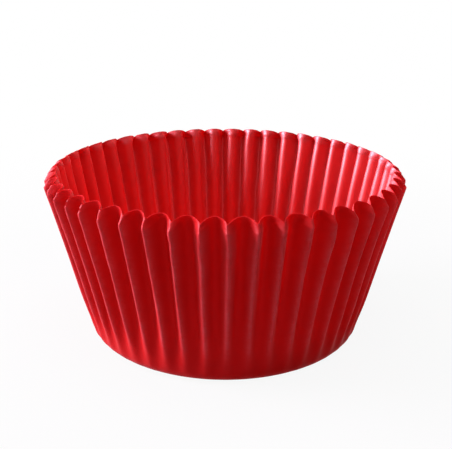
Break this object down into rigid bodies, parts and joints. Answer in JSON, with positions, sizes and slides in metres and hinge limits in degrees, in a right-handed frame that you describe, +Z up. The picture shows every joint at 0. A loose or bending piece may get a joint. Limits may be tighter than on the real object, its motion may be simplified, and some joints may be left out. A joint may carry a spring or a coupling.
{
  "type": "cupcake liner",
  "caption": "Red pleated paper cupcake liner: flat round base, tight heel and a flared wall of 48 pleats, nipped in near the rim to a short scalloped lip.",
  "frame": {"origin": "centre of the underside of the flat base, where the liner stands", "axes": "+Z up along the liner's axis; one pleat ridge points along -Y, the picture's front"},
  "size_m": [0.0682, 0.0682, 0.0325],
  "materials": {
    "red_paper": "satin"
  },
  "bodies": {
    "root": {"liner": "red_paper"}
  },
  "joints": []
}
